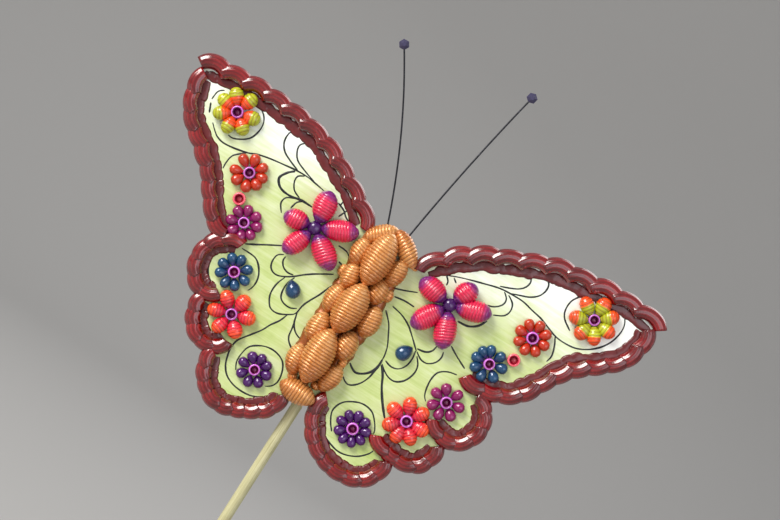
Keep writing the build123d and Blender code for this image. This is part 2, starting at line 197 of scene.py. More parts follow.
paints = {
    "goldPearlPaint": {     # copper-gold pearl: warm, soft metal sheen, with painted brown shade in the creases
        "stops": [(0.0, "#C06A20"), (0.45, "#DC8C3E"), (1.0, "#E8A45C")], "crest": "#FBD9B4",
        "groove": "#8A4410", "metallic": 0.35, "rough": 0.34, "coat": 0.45, "patch": 6.0, "ragged": 1.2,
        "crestHighlightAndWear": 0.4, "grooveShade": 0.72},
    "redLacquer": {         # thick dark red lacquer over ribbed shell, with a painted highlight, partly wear, lighter on the ribs
        "stops": [(0.0, "#5A0206"), (0.5, "#780509"), (1.0, "#8E0A0E")], "crest": "#A8282C",
        "groove": "#3A0204", "rough": 0.22, "coat": 0.8, "patch": 4.0, "ragged": 1.1, "crestHighlightAndWear": 0.3,
        "grooveShade": 0.6},
    "redMarginPaint": {     # the same lacquer brushed thin on the card beside the edging
        "stops": [(0.0, "#64060A"), (0.5, "#7C080C"), (1.0, "#8C1014")], "crest": "#9A2024",
        "groove": "#5A0408", "rough": 0.32, "coat": 0.5, "patch": 3.0, "ragged": 1.0, "grooveShade": 0.0},
    "limeOrangePaint": {"stops": [(0.0, "#E03206"), (0.50, "#F24C10"), (0.56, "#A9B015"), (1.0, "#B4BE22")],
                        "crest": "#F29A4A", "groove": "#7E4A08", "rough": 0.3, "ragged": 0.16},
    "orangeLimePaint": {"stops": [(0.0, "#A9B015"), (0.52, "#B4BE22"), (0.60, "#F04A10"), (1.0, "#E83C0A")],
                        "crest": "#F0C04A", "groove": "#7E4A08", "rough": 0.3, "ragged": 0.16},
    "orangePaint": {"stops": [(0.0, "#F02800"), (0.4, "#FF3C04"), (1.0, "#FF5008")], "crest": "#FF9A50",
                    "groove": "#8E1E04", "rough": 0.28},
    "magentaPaint": {"stops": [(0.0, "#A00E6A"), (0.5, "#C81480"), (1.0, "#DC3090")], "crest": "#F0A0C8",
                     "groove": "#5A0A3E", "rough": 0.25, "metallic": 0.1},
    "bluePaint": {"stops": [(0.0, "#0C4078"), (0.5, "#1A66A0"), (1.0, "#3288BC")], "crest": "#9CC8E0",
                  "groove": "#0A2440", "rough": 0.25, "metallic": 0.15},
    "crimsonPaint": {"stops": [(0.0, "#C01038"), (0.45, "#DC1C34"), (0.7, "#F03E1C"), (1.0, "#F65418")],
                     "crest": "#FF9470", "groove": "#7A0A1C", "rough": 0.28, "ragged": 0.5},
    "violetPaint": {"stops": [(0.0, "#4C0468"), (0.5, "#6A0A8C"), (1.0, "#8420A4")], "crest": "#B878D0",
                    "groove": "#25033A", "rough": 0.24, "metallic": 0.1},
    "crimsonVioletPaint": {"stops": [(0.0, "#4A0E64"), (0.14, "#5E1672"), (0.26, "#D00C40"),
                                     (0.70, "#E41048"), (0.84, "#8A1A70"), (1.0, "#5E1A7E")],
                           "crest": "#F07A9A", "groove": "#7E0828", "rough": 0.3, "ragged": 0.2,
                           "crestHighlightAndWear": 0.3, "grooveShade": 0.55, "spread": 0.08},
    "lilacPaint": {"stops": [(0.0, "#6E1258"), (0.42, "#8A1A70"), (0.58, "#B84CB8"), (1.0, "#CC6CD2")],
                   "crest": "#EAB0EE", "groove": "#5A0A48", "rough": 0.26, "ragged": 0.06},
    "redRingPaint": {"stops": [(0.0, "#B01234"), (0.45, "#CC1A3E"), (0.6, "#E83A56"), (1.0, "#F0606E")],
                     "crest": "#FFA0A8", "groove": "#7A0A20", "rough": 0.28, "ragged": 0.06},
    "greyVioletPaint": {"stops": [(0.0, "#4E466E"), (0.5, "#6A6088"), (1.0, "#8A80A4")], "crest": "#B8B0CC",
                        "groove": "#2E2A48", "rough": 0.35, "metallic": 0.2},
}
finish = {name: craftPaint(name, look) for name, look in paints.items()}


def cardPaint():
    # pearly craft paint brushed across gessoed card: streaks run across the wing, and a painted sheen
    # whitens it towards the top
    material, tree, shader = newMaterial("pearlCardPaint")
    coords = addNode(tree, "ShaderNodeTexCoord").outputs["Object"]
    place = addNode(tree, "ShaderNodeSeparateXYZ", {}, {0: coords})
    # painted sheen: the paint grows whiter from 18 to 66 mm above the body's middle
    height = addNode(tree, "ShaderNodeMapRange", {"interpolation_type": "SMOOTHSTEP"}, {
        "Value": place.outputs["Z"], "From Min": bodyZ + 18 * mm, "From Max": bodyZ + 66 * mm,
        "To Min": 0.0, "To Max": 0.75})
    streakAt = addNode(tree, "ShaderNodeMapping", {}, {
        "Vector": coords, "Rotation": (0, math.radians(6), 0), "Scale": (1 / 26, 1 / 26, 1 / 1.7)})
    streak = addNode(tree, "ShaderNodeTexNoise", {}, {
        "Vector": streakAt.outputs[0], "Scale": 1 / mm, "Detail": 5.0,
        "Roughness": 0.62, "Distortion": 0.3})
    cloud = addNode(tree, "ShaderNodeTexNoise", {}, {
        "Vector": coords, "Scale": 1 / (24 * mm), "Detail": 3.0, "Roughness": 0.55})
    lift = addNode(tree, "ShaderNodeMath", {"operation": "MULTIPLY_ADD"}, {
        0: cloud.outputs["Fac"], 1: 0.9, 2: height.outputs["Result"]})
    lifted = addNode(tree, "ShaderNodeMath", {"operation": "MULTIPLY_ADD"}, {
        0: streak.outputs["Fac"], 1: 0.75, 2: lift.outputs[0]})
    level = addNode(tree, "ShaderNodeMapRange", {}, {
        "Value": lifted.outputs[0], "From Min": 0.55, "From Max": 1.55})
    colour = addNode(tree, "ShaderNodeValToRGB", {}, {"Fac": level.outputs["Result"]})
    setRamp(colour, [(0.0, "#A8BC62"), (0.25, "#C2D08A"), (0.5, "#D2DCAA"), (0.75, "#E2EACE"),
                     (1.0, "#F2F6EE")])
    gloss = addNode(tree, "ShaderNodeMapRange", {}, {
        "Value": streak.outputs["Fac"], "From Min": 0.3, "From Max": 0.7, "To Min": 0.30, "To Max": 0.46})
    lumps = addNode(tree, "ShaderNodeTexNoise", {}, {
        "Vector": coords, "Scale": 1 / (9 * mm), "Detail": 2.0})
    wavy = addNode(tree, "ShaderNodeBump", {}, {
        "Height": lumps.outputs["Fac"], "Strength": 0.55, "Distance": 0.9 * mm})
    brushed = addNode(tree, "ShaderNodeBump", {}, {
        "Height": streak.outputs["Fac"], "Strength": 0.5, "Distance": 0.22 * mm,
        "Normal": wavy.outputs["Normal"]})
    for socket, source in (("Base Color", colour.outputs["Color"]), ("Roughness", gloss.outputs["Result"]),
                           ("Normal", brushed.outputs["Normal"])):
        tree.links.new(source, shader.inputs[socket])
    shader.inputs["Metallic"].default_value = 0.08
    shader.inputs["Coat Weight"].default_value = 0.3
    shader.inputs["Coat Roughness"].default_value = 0.25
    return material


def dowelWood():
    # sanded bare birch dowel: fine grain lines run up the stick, matt
    material, tree, shader = newMaterial("sandedBirch")
    coords = addNode(tree, "ShaderNodeTexCoord").outputs["Object"]
    grainAt = addNode(tree, "ShaderNodeMapping", {}, {
        "Vector": coords, "Scale": (1 / 0.45, 1 / 0.45, 1 / 28)})
    grain = addNode(tree, "ShaderNodeTexNoise", {}, {
        "Vector": grainAt.outputs[0], "Scale": 1 / mm, "Detail": 5.0, "Roughness": 0.7})
    patch = addNode(tree, "ShaderNodeTexNoise", {}, {
        "Vector": coords, "Scale": 1 / (14 * mm), "Detail": 2.0})
    both = addNode(tree, "ShaderNodeMath", {"operation": "MULTIPLY_ADD"}, {
        0: patch.outputs["Fac"], 1: 0.35, 2: grain.outputs["Fac"]})
    colour = addNode(tree, "ShaderNodeValToRGB", {}, {"Fac": both.outputs[0]})
    setRamp(colour, [(0.42, "#8E875C"), (0.62, "#B2AC80"), (0.78, "#C6C198"), (0.95, "#D2CEAA")])
    bump = addNode(tree, "ShaderNodeBump", {}, {
        "Height": grain.outputs["Fac"], "Strength": 0.35, "Distance": 0.1 * mm})
    tree.links.new(colour.outputs["Color"], shader.inputs["Base Color"])
    tree.links.new(bump.outputs["Normal"], shader.inputs["Normal"])
    shader.inputs["Roughness"].default_value = 0.62
    return material


def mottled(name, patch, detail, stops):
    # a finish whose colour varies over patches of one size in mm
    material, tree, shader = newMaterial(name)
    coords = addNode(tree, "ShaderNodeTexCoord").outputs["Object"]
    patches = addNode(tree, "ShaderNodeTexNoise", {}, {
        "Vector": coords, "Scale": 1 / (patch * mm), "Detail": detail})
    colour = addNode(tree, "ShaderNodeValToRGB", {}, {"Fac": patches.outputs["Fac"]})
    setRamp(colour, stops)
    tree.links.new(colour.outputs["Color"], shader.inputs["Base Color"])
    return material, tree, shader, patches


def hotGlue():
    # hot-melt glue: cloudy, a little see-through, waxy gloss
    material, tree, shader, cloud = mottled("hotMeltGlue", 3, 3.0, [(0.3, "#C2B890"), (0.7, "#E2DCC2")])
    bump = addNode(tree, "ShaderNodeBump", {}, {
        "Height": cloud.outputs["Fac"], "Strength": 0.6, "Distance": 0.4 * mm})
    tree.links.new(bump.outputs["Normal"], shader.inputs["Normal"])
    shader.inputs["Roughness"].default_value = 0.3
    shader.inputs["Subsurface Weight"].default_value = 0.3
    shader.inputs["Subsurface Radius"].default_value = (0.002, 0.0016, 0.001)
    return material


def drawnWire():
    # dark annealed steel wire: grey-black scale with brighter rubbed spots
    material, tree, shader, scale = mottled("annealedWire", 0.8, 4.0, [
        (0.35, "#18181C"), (0.6, "#2C2C32"), (0.8, "#55555C")])
    shader.inputs["Metallic"].default_value = 0.7
    shader.inputs["Roughness"].default_value = 0.42
    return material


def inkLine():
    # black paint-pen ink: stands a little proud, semi-gloss, thin in places
    material, tree, shader, thin = mottled("paintPenInk", 1.4, 4.0, [
        (0.3, "#07090D"), (0.62, "#10141A"), (0.8, "#2A333A")])
    shader.inputs["Roughness"].default_value = 0.38
    return material


finish.update({"pearlCardPaint": cardPaint(), "sandedBirch": dowelWood(), "hotMeltGlue": hotGlue(),
               "annealedWire": drawnWire(), "paintPenInk": inkLine()})
print("finishes")


# ---- node trees
def newTree(name, sizes):
    tree = bpy.data.node_groups.new(name, "GeometryNodeTree")
    tree.interface.new_socket("Geometry", in_out="INPUT", socket_type="NodeSocketGeometry")
    for label, (kind, value) in sizes.items():
        socket = tree.interface.new_socket(label, in_out="INPUT", socket_type=f"NodeSocket{kind}")
        if value is not None:
            socket.default_value = value
    tree.interface.new_socket("Geometry", in_out="OUTPUT", socket_type="NodeSocketGeometry")
    return tree, addNode(tree, "NodeGroupInput").outputs


def endTree(tree, geometry, material):
    real = addNode(tree, "GeometryNodeRealizeInstances", {}, {"Geometry": geometry})
    smooth = addNode(tree, "GeometryNodeSetShadeSmooth", {}, {"Geometry": real.outputs[0]})
    painted = addNode(tree, "GeometryNodeSetMaterial", {}, {
        "Geometry": smooth.outputs[0], "Material": material})
    addNode(tree, "NodeGroupOutput", {}, {0: painted.outputs[0]})


def runTree(source, tree, values, name):
    modifier = source.modifiers.new("tree", "NODES")
    modifier.node_group = tree
    sockets = {item.name: item.identifier for item in tree.interface.items_tree if item.in_out == "INPUT"}
    for label, value in values.items():
        modifier[sockets[label]] = value
    bpy.context.view_layer.update()
    graph = bpy.context.evaluated_depsgraph_get()
    mesh = bpy.data.meshes.new_from_object(source.evaluated_get(graph), preserve_all_data_layers=True,
                                           depsgraph=graph)
    source.modifiers.remove(modifier)
    bpy.data.objects.remove(source)
    piece = bpy.data.objects.new(name, mesh)
    bpy.context.collection.objects.link(piece)
    return piece


def pointsObject(name, points, edges=(), attributes=None):
    mesh = bpy.data.meshes.new(name)
    mesh.from_pydata([tuple(p) for p in points], list(edges), [])
    for key, (kind, values) in (attributes or {}).items():
        data = mesh.attributes.new(key, kind, "POINT").data
        for item, value in zip(data, values):
            if kind == "FLOAT_VECTOR":
                item.vector = value
            else:
                item.value = value
    obj = bpy.data.objects.new(name, mesh)
    bpy.context.collection.objects.link(obj)
    return obj


def shellTree():
    # a spindle or drop turned about its own axis, with ribs across it
    tree, given = newTree("ribbedShell", {
        "length": ("Float", 0.02), "width": ("Float", 0.01), "ribs": ("Float", 9.0),
        "groove": ("Float", 0.08),
        "lean": ("Float", 1.0), "blunt": ("Float", 0.62), "rings": ("Int", 72), "sides": ("Int", 32),
        "slant": ("Float", 0.0), "place": ("Vector", None), "turn": ("Vector", None),
        "finish": ("Material", None)})
    line = addNode(tree, "GeometryNodeCurvePrimitiveLine", {}, {
        "Start": (-0.5, 0, 0), "End": (0.5, 0, 0)})
    steps = addNode(tree, "GeometryNodeResampleCurve", {}, {
        "Curve": line.outputs[0], "Count": given["rings"]})
    along = addNode(tree, "GeometryNodeSplineParameter").outputs["Factor"]
    leaned = addNode(tree, "ShaderNodeMath", {"operation": "POWER"}, {0: along, 1: given["lean"]})
    centred = addNode(tree, "ShaderNodeMath", {"operation": "MULTIPLY_ADD"}, {
        0: leaned.outputs[0], 1: 2.0, 2: -1.0})
    away = addNode(tree, "ShaderNodeMath", {"operation": "ABSOLUTE"}, {0: centred.outputs[0]})
    curve = addNode(tree, "ShaderNodeMath", {"operation": "POWER"}, {0: away.outputs[0], 1: 2.2})
    left = addNode(tree, "ShaderNodeMath", {"operation": "SUBTRACT", "use_clamp": True}, {
        0: 1.0, 1: curve.outputs[0]})
    barrel = addNode(tree, "ShaderNodeMath", {"operation": "POWER"}, {
        0: left.outputs[0], 1: given["blunt"]})
    phase = addNode(tree, "ShaderNodeMath", {"operation": "MULTIPLY"}, {0: along, 1: given["ribs"]})
    wave = addNode(tree, "ShaderNodeMath", {"operation": "MULTIPLY"}, {0: phase.outputs[0], 1: math.pi})
    swing = addNode(tree, "ShaderNodeMath", {"operation": "SINE"}, {0: wave.outputs[0]})
    crest = addNode(tree, "ShaderNodeMath", {"operation": "ABSOLUTE"}, {0: swing.outputs[0]})
    ridge = addNode(tree, "ShaderNodeMath", {"operation": "POWER"}, {0: crest.outputs[0], 1: 0.65})
    dip = addNode(tree, "ShaderNodeMapRange", {}, {
        "Value": ridge.outputs[0], "To Min": given["groove"], "To Max": 0.0})
    kept = addNode(tree, "ShaderNodeMath", {"operation": "SUBTRACT"}, {0: 1.0, 1: dip.outputs["Result"]})
    girth = addNode(tree, "ShaderNodeMath", {"operation": "MULTIPLY"}, {
        0: barrel.outputs[0], 1: kept.outputs[0]})
    stored = {"data_type": "FLOAT", "domain": "POINT"}
    storedAlong = addNode(tree, "GeometryNodeStoreNamedAttribute", stored, {
        "Geometry": steps.outputs[0], "Name": "along", "Value": along})
    storedRidge = addNode(tree, "GeometryNodeStoreNamedAttribute", stored, {
        "Geometry": storedAlong.outputs[0], "Name": "ridge", "Value": ridge.outputs[0]})
    ring = addNode(tree, "GeometryNodeCurvePrimitiveCircle", {}, {
        "Resolution": given["sides"], "Radius": 0.5})
    skin = addNode(tree, "GeometryNodeCurveToMesh", {}, {
        "Curve": storedRidge.outputs[0], "Profile Curve": ring.outputs[0], "Scale": girth.outputs[0]})
    closed = addNode(tree, "GeometryNodeMergeByDistance", {}, {
        "Geometry": skin.outputs[0], "Distance": 0.0005})
    at = addNode(tree, "GeometryNodeInputPosition").outputs[0]
    part = addNode(tree, "ShaderNodeSeparateXYZ", {}, {0: at})
    lag = addNode(tree, "ShaderNodeMath", {"operation": "MULTIPLY"}, {
        0: part.outputs["Y"], 1: given["slant"]})
    lagged = addNode(tree, "ShaderNodeCombineXYZ", {}, {"X": lag.outputs[0]})
    slanted = addNode(tree, "GeometryNodeSetPosition", {}, {
        "Geometry": closed.outputs[0], "Offset": lagged.outputs[0]})
    size = addNode(tree, "ShaderNodeCombineXYZ", {}, {
        "X": given["length"], "Y": given["width"], "Z": given["width"]})
    sized = addNode(tree, "GeometryNodeTransform", {}, {
        "Geometry": slanted.outputs[0], "Scale": size.outputs[0]})
    rough = addNode(tree, "ShaderNodeTexNoise", {}, {"Vector": at, "Scale": 420.0, "Detail": 2.0})
    lump = addNode(tree, "ShaderNodeVectorMath", {"operation": "SUBTRACT"}, {
        0: rough.outputs["Color"], 1: (0.5, 0.5, 0.5)})
    small = addNode(tree, "ShaderNodeVectorMath", {"operation": "SCALE"}, {
        0: lump.outputs[0], "Scale": 0.35 * mm})
    laid = addNode(tree, "GeometryNodeTransform", {}, {
        "Geometry": sized.outputs[0], "Translation": given["place"], "Rotation": given["turn"]})
    uneven = addNode(tree, "GeometryNodeSetPosition", {}, {
        "Geometry": laid.outputs[0], "Offset": small.outputs[0]})
    endTree(tree, uneven.outputs[0], given["finish"])
    return tree


def layTree():
    # lays copies of one piece on points, each with its own turn and size
    tree, given = newTree("layPieces", {"piece": ("Object", None), "finish": ("Material", None)})
    piece = addNode(tree, "GeometryNodeObjectInfo", {}, {"Object": given["piece"]})
    turn = addNode(tree, "GeometryNodeInputNamedAttribute", {"data_type": "FLOAT_VECTOR"}, {
        "Name": "turn"})
    size = addNode(tree, "GeometryNodeInputNamedAttribute", {"data_type": "FLOAT_VECTOR"}, {
        "Name": "size"})
    copies = addNode(tree, "GeometryNodeInstanceOnPoints", {}, {
        "Points": given["Geometry"], "Instance": piece.outputs["Geometry"],
        "Rotation": turn.outputs["Attribute"], "Scale": size.outputs["Attribute"]})
    endTree(tree, copies.outputs[0], given["finish"])
    return tree


def strokeTree():
    # a hand-drawn line of ink that swells and thins, flattened on the card
    tree, given = newTree("inkStroke", {
        "width": ("Float", 0.7 * mm), "flat": ("Float", 0.3), "step": ("Float", 0.6 * mm),
        "place": ("Vector", None), "seed": ("Float", 3.0), "finish": ("Material", None)})
    line = addNode(tree, "GeometryNodeMeshToCurve", {}, {"Mesh": given["Geometry"]})
    bent = addNode(tree, "GeometryNodeCurveSplineType", {"spline_type": "CATMULL_ROM"}, {
        "Curve": line.outputs[0]})
    fine = addNode(tree, "GeometryNodeResampleCurve", {"mode": "LENGTH"}, {
        "Curve": bent.outputs[0], "Length": given["step"]})
    along = addNode(tree, "GeometryNodeSplineParameter").outputs["Factor"]
    taper = addNode(tree, "ShaderNodeFloatCurve", {}, {"Value": along})
    shape = taper.mapping.curves[0].points
    shape[0].location, shape[1].location = (0.0, 0.62), (1.0, 0.5)
    for place in ((0.12, 0.95), (0.8, 1.0)):
        shape.new(*place)
    taper.mapping.update()
    press = addNode(tree, "ShaderNodeTexNoise", {"noise_dimensions": "4D"}, {
        "W": given["seed"], "Scale": 160.0, "Detail": 2.0})
    heavy = addNode(tree, "ShaderNodeMapRange", {}, {
        "Value": press.outputs["Fac"], "From Min": 0.3, "From Max": 0.7, "To Min": 0.75, "To Max": 1.3})
    weight = addNode(tree, "GeometryNodeInputNamedAttribute", {"data_type": "FLOAT"}, {"Name": "weight"})
    pressed = addNode(tree, "ShaderNodeMath", {"operation": "MULTIPLY"}, {
        0: taper.outputs[0], 1: heavy.outputs["Result"]})
    both = addNode(tree, "ShaderNodeMath", {"operation": "MULTIPLY"}, {
        0: pressed.outputs[0], 1: weight.outputs["Attribute"]})
    wide = addNode(tree, "ShaderNodeMath", {"operation": "MULTIPLY"}, {
        0: both.outputs[0], 1: given["width"]})
    nib = addNode(tree, "GeometryNodeCurvePrimitiveCircle", {}, {"Resolution": 8, "Radius": 0.5})
    drawn = addNode(tree, "GeometryNodeCurveToMesh", {}, {
        "Curve": fine.outputs[0], "Profile Curve": nib.outputs[0], "Scale": wide.outputs[0],
        "Fill Caps": True})
    flat = addNode(tree, "ShaderNodeCombineXYZ", {}, {"X": 1.0, "Y": given["flat"], "Z": 1.0})
    laid = addNode(tree, "GeometryNodeTransform", {}, {
        "Geometry": drawn.outputs[0], "Scale": flat.outputs[0], "Translation": given["place"]})
    endTree(tree, laid.outputs[0], given["finish"])
    return tree


trees = {"shell": shellTree(), "lay": layTree(), "stroke": strokeTree()}
print("node trees")


# ---- shared shapes
def turnOnCard(direction, tip=0.0):
    # X along the direction on the card, Z out to the front, tipped up about the piece's own Y
    along = Vector((math.cos(math.radians(direction)), 0, math.sin(math.radians(direction))))
    across = front.cross(along)
    turn = Matrix((along, across, front)).transposed()
    return (turn @ Matrix.Rotation(math.radians(tip), 3, "Y")).to_euler()


def finishPiece(piece, body, nodes):
    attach(piece, body)
    if nodes:
        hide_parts(*nodes)


def shell(name, material, values, place, turn):
    base = pointsObject(name + "Base", [(0, 0, 0)])
    sizes = dict(values, place=tuple(place), turn=tuple(turn), finish=finish[material])
    return runTree(base, trees["shell"], sizes, name)


def layPieces(name, template, material, places):
    rng = random.Random(name)
    base = pointsObject(name + "Base", [p for p, turn, size in places], (), {
        "turn": ("FLOAT_VECTOR", [tuple(turn) for p, turn, size in places]),
        "size": ("FLOAT_VECTOR", [tuple(size) for p, turn, size in places]),
        "tone": ("FLOAT", [rng.random() for _ in places])})
    return runTree(base, trees["lay"], {"piece": template, "finish": finish[material]}, name)


def gridMesh(name, rows, columns, pointAt, closedRows=False):
    # a skin of rows round a closed column loop; pointAt gives each point with its along and ridge values
    points, along, ridge = [], [], []
    for i in range(rows):
        for j in range(columns):
            point, a, r = pointAt(i / (rows if closedRows else rows - 1), j / columns)
            points.append(point)
            along.append(a)
            ridge.append(r)
    faces = []
    for i in range(rows if closedRows else rows - 1):
        for j in range(columns):
            nextRow = (i + 1) % rows
            nextColumn = (j + 1) % columns
            faces.append((i * columns + j, i * columns + nextColumn,
                          nextRow * columns + nextColumn, nextRow * columns + j))
    if not closedRows:
        faces.append(tuple(range(columns))[::-1])
        faces.append(tuple(range((rows - 1) * columns, rows * columns)))
    mesh = bpy.data.meshes.new(name)
    mesh.from_pydata(points, [], faces)
    for key, values in (("along", along), ("ridge", ridge)):
        mesh.attributes.new(key, "FLOAT", "POINT").data.foreach_set("value", values)
    mesh.validate()
    shape = bpy.data.objects.new(name, mesh)
    bpy.context.collection.objects.link(shape)
    skin = bmesh.new()
    skin.from_mesh(mesh)
    bmesh.ops.recalc_face_normals(skin, faces=skin.faces)
    skin.to_mesh(mesh)
    skin.free()
    return shape


def smoothLine(points, steps=24):
    # a Catmull-Rom line through the points
    ends = [2 * Vector(points[0]) - Vector(points[1])] + [Vector(p) for p in points]
    ends.append(2 * Vector(points[-1]) - Vector(points[-2]))
    line = []
    for i in range(1, len(ends) - 2):
        a, b, c, d = ends[i - 1:i + 3]
        for k in range(steps):
            t = k / steps
            line.append(0.5 * ((2 * b) + (c - a) * t + (2 * a - 5 * b + 4 * c - d) * t * t
                               + (3 * b - a - 3 * c + d) * t ** 3))
    line.append(ends[-2])
    return line


def evenPlaces(line, count):
    # count + 1 places at equal distances along a line
    lengths = [0.0]
    for a, b in zip(line, line[1:]):
        lengths.append(lengths[-1] + (b - a).length)
    places, k = [], 0
    for i in range(count + 1):
        want = lengths[-1] * i / count
        while k < len(line) - 2 and lengths[k + 1] < want:
            k += 1
        t = (want - lengths[k]) / max(lengths[k + 1] - lengths[k], 1e-9)
        places.append(line[k].lerp(line[k + 1], min(max(t, 0.0), 1.0)))
    return places


# ---- the body's beads
beadLook = {"ribPitch": 1.5, "groove": 0.075, "sideBed": 0.40, "centreHeight": 7.8}
bodyBeads = {       # node: length, width, direction on the card, slant of its ribs
    "upper_centre_bead": (26.0, 13.6, 91, 0.04), "middle_centre_bead": (25.0, 14.4, 91, -0.05),
    "lower_centre_bead": (26.6, 14.2, 93, 0.03), "left_bead_1": (13.8, 9.4, 86, 0.10),
    "left_bead_2": (13.2, 9.0, 97, -0.08), "left_bead_3": (14.4, 9.4, 88, 0.06),
    "left_bead_4": (15.0, 10.0, 92, -0.10), "left_bead_5": (14.4, 9.6, 96, 0.08),
    "right_bead_1": (14.0, 9.2, 92, -0.08), "right_bead_2": (12.6, 9.2, 84, 0.10),
    "right_bead_3": (15.6, 10.0, 95, -0.06), "right_bead_4": (14.2, 10.2, 88, 0.08),
    "right_bead_5": (14.6, 9.2, 84, -0.10), "left_head_bead": (16.6, 8.6, 44, 0.06),
    "right_head_bead": (18.6, 9.0, -35, -0.06), "tail_bead": (17.8, 10.6, 0, 0.03)}
for node, (length, width, direction, slant) in bodyBeads.items():
    low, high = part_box(node)
    middle = (low + high) / 2
    proud = beadLook["centreHeight"] if "centre" in node else beadLook["sideBed"] * width
    place = Vector((middle.x, cardFront - proud * mm, middle.z))
    ribs = round(length / beadLook["ribPitch"])
    bead = shell(node.replace("_", "-"), "goldPearlPaint", {
        "length": length * mm, "width": width * mm, "ribs": float(ribs), "groove": beadLook["groove"],
        "rings": ribs * 8 + 1, "sides": 40, "slant": slant, "blunt": 0.66}, place, turnOnCard(direction))
    finishPiece(bead, "root", [node])
gapBeads = [((-14.9, 17.6), 6.0, 4.4, 90), ((8.0, 18.6), 6.4, 4.8, 90), ((-8.6, -33.4), 4.6, 4.0, 30),
            ((6.8, -17.0), 5.0, 4.2, 80), ((2.4, -31.6), 4.8, 4.0, 0), ((11.0, 36.2), 4.8, 4.0, -60)]
gapShape = shell("gapShape", "goldPearlPaint", {
    "length": 1.0, "width": 1.0, "ribs": 4.0, "groove": 0.06, "rings": 33, "sides": 24, "blunt": 0.6},
    (0, 0, 0), (0, 0, 0))
gaps = layPieces("gap-beads", gapShape, "goldPearlPaint", [
    (onCard(x, z, beadLook["sideBed"] * width), turnOnCard(direction),
     (length * mm, width * mm, width * mm))
    for (x, z), length, width, direction in gapBeads])
finishPiece(gaps, "root", ["gap_beads"])
bpy.data.objects.remove(gapShape)
print("body beads")

# ---- the edging round each wing
edging = {"elbowWidth": 6.9, "height": 4.2, "roundness": 0.72, "lift": 0.25, "endTaper": 0.12,
          "overlap": 1.34, "ribs": 12, "ribDepth": 0.045, "tuck": 5.0, "proud": 0.25,
          "arcSteps": 18, "around": 48}
rims = {
    "left": {
        "top": ([(-17.5, 38.5), (-30, 47.5), (-40, 52.8), (-50, 57.6), (-60, 60.6), (-81, 62.6),
                 (-99, 62.2), (-114.8, 60.4)], 10, 2.0),
        "outer": ([(-112.2, 57.0), (-111.2, 49), (-107.5, 40.5), (-100, 34.3), (-92, 28.6), (-85.5, 21.5),
                   (-79, 12.5), (-73, 6.2), (-67.5, 3.6)], 9, 1.1),
        "lobe_1": ([(-59, 2.6), (-65.5, 0.4), (-70, -5), (-70.6, -12.5), (-67.5, -19), (-62.5, -22.2),
                    (-56, -20.5)], 6, 1.0),
        "lobe_2": ([(-60.2, -26), (-59.3, -31), (-57, -36.2), (-52, -40.3), (-46.5, -40.4),
                    (-41.5, -36.5)], 5, 1.0),
        "lobe_3": ([(-43.6, -43.6), (-42.3, -50), (-38.5, -56.2), (-31.5, -59.9), (-24, -58.9),
                    (-16.5, -55.4), (-10.2, -50.4), (-7.8, -43.5)], 9, 0.9)},
    "right": {
        "top": ([(14.8, 36.5), (24, 46.3), (34, 53.6), (46, 59.2), (57, 64.2), (68, 67.6), (82, 69.0),
                 (98, 70.8), (115.2, 69.8)], 10, 2.0),
        "outer": ([(112.5, 66.4), (112.0, 58.5), (109.8, 50.5), (102.5, 43.5), (93.5, 37), (87.5, 28.5),
                   (82.5, 19), (76.5, 11.4), (67, 7.6), (56.5, 7.0)], 11, 1.1),
        "lobe_1": ([(65.5, 1.4), (70.2, -1.8), (72.7, -7.5), (71.6, -14), (68, -19), (61.5, -20.2),
                    (54.5, -16.8)], 6, 1.0),
        "lobe_2": ([(61.6, -26.2), (60.6, -32.5), (56.4, -37.8), (50.5, -38.9), (43.5, -38.2),
                    (37.5, -36.2)], 5, 1.0),
        "lobe_3": ([(45.6, -44), (44.2, -50.4), (39.5, -55.6), (32, -57.6), (23.5, -56.6), (16.5, -52.4),
                    (11.2, -46.6), (8.6, -40.4), (9.2, -34.8)], 9, 0.9)}}


def elbowShape(name, length, bow):
    # a half-round arc of ribbed tube, its ribs running along the arc
    bendR = (length ** 2 / 4 + bow ** 2) / (2 * bow)
    half = math.asin(length / 2 / bendR)
    width, height = edging["elbowWidth"], edging["height"]

    def pointAt(i, j):
        turn = (2 * i - 1) * half
        swell = 1 - edging["endTaper"] * abs(2 * i - 1) ** 3
        ring = 2 * math.pi * j
        rib = abs(math.sin(edging["ribs"] / 2 * ring)) ** 0.7
        r = swell * (1 - edging["ribDepth"] * (1 - rib))
        side = width / 2 * r * math.cos(ring)
        up = height * edging["roundness"] * r * math.sin(ring) + height * edging["lift"]
        away = bendR + side
        return (away * math.sin(turn), away * math.cos(turn) - bendR + bow, max(up, 0.0)), i, rib

    return gridMesh(name, edging["arcSteps"], edging["around"], pointAt)


for hand, runs in rims.items():
    for run, (points, count, bow) in runs.items():
        rng = random.Random(hand + run)
        line = smoothLine([(x, z, 0) for x, z in points])
        joints = evenPlaces(line, count)
        pitch = (joints[1] - joints[0]).length
        template = elbowShape("elbow", pitch * edging["overlap"], bow * edging["overlap"] ** 2)
        places = []
        for a, b in zip(joints, joints[1:]):
            along = (b - a).normalized()
            outwards = Vector((-along.y, along.x, 0)) * (1 if hand == "right" else -1)
            direction = math.degrees(math.atan2(outwards.y, outwards.x)) - 90
            middle = (a + b) / 2
            size = rng.uniform(0.94, 1.06)
            places.append((onCard(middle.x, middle.y, edging["proud"]), turnOnCard(
                direction + rng.uniform(-4, 4), rng.uniform(0.4, 1.0) * edging["tuck"]),
                (mm * size, mm * rng.uniform(0.94, 1.06), mm * size)))
        name = f"{hand}-{run}-edging".replace("_", "-")
        elbows = layPieces(name, template, "redLacquer", places)
        finishPiece(elbows, "root", [f"{hand}_{run}_edging"])
        bpy.data.objects.remove(template)
print("edging")

